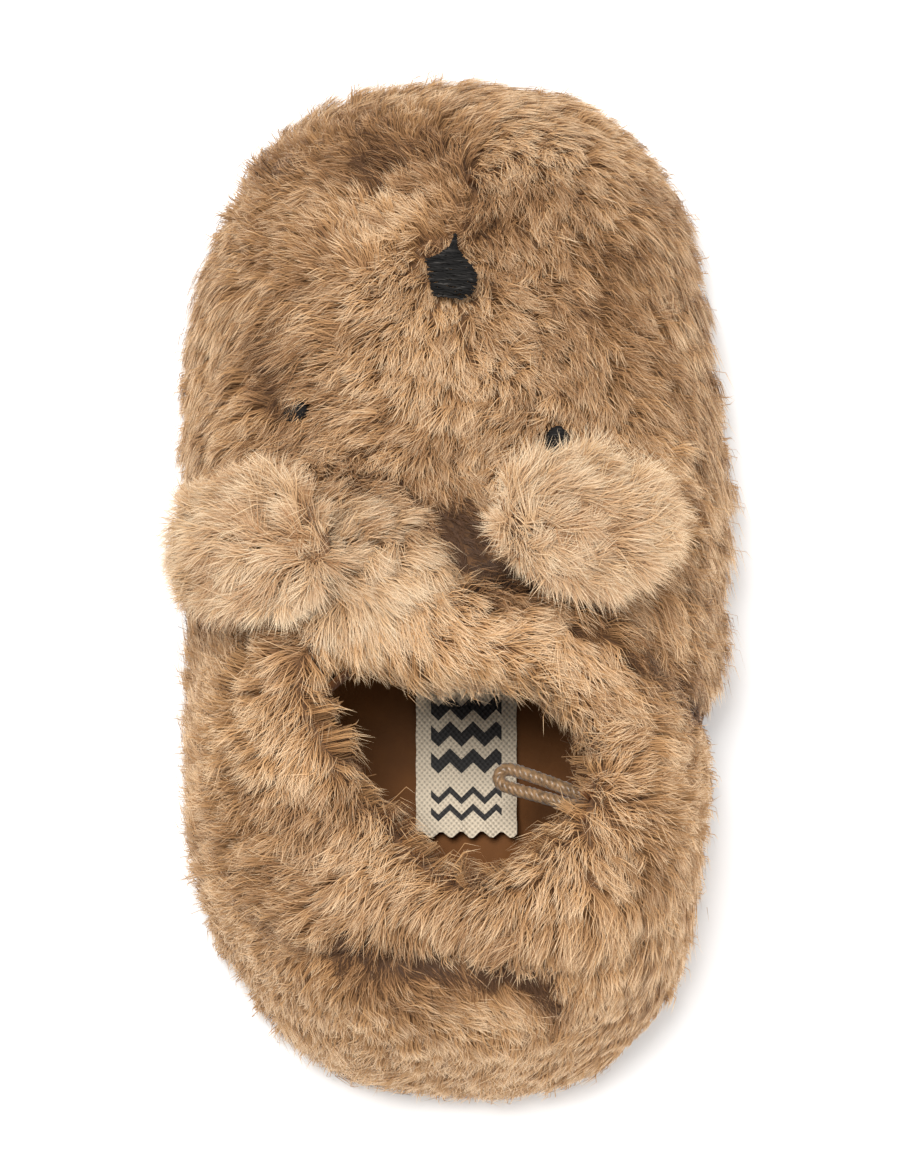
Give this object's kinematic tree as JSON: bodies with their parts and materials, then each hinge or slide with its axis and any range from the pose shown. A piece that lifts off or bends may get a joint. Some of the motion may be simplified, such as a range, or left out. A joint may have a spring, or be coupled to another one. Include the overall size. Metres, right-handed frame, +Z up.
{
  "type": "animal slipper",
  "caption": "Toddler's plush slipper for the left foot with an animal face, two floppy ears and a fur cuff round the opening.",
  "frame": {"origin": "on the floor under the middle of the foot room, on the sole's flat underside", "axes": "+Y towards the toe, +X towards the inner side of the foot, +Z up"},
  "size_m": [0.0865, 0.1563, 0.0616],
  "materials": {
    "outsole": "matt",
    "insole": "brushed brown cloth",
    "upper_fur": "long brown pile",
    "cuff_fur": "long brown pile",
    "ear_fur": "long pale pile",
    "embroidery": "satin stitch",
    "ribbon": "plain weave",
    "satin_cord": "satin braid"
  },
  "bodies": {
    "root": {"outsole": "outsole", "insole": "insole", "upper": "upper_fur", "collar_cuff": "cuff_fur", "ear_inner": "ear_fur", "ear_outer": "ear_fur", "nose": "embroidery", "eye_inner": "embroidery", "eye_outer": "embroidery", "label": "ribbon", "hang_loop": "satin_cord"}
  },
  "joints": []
}
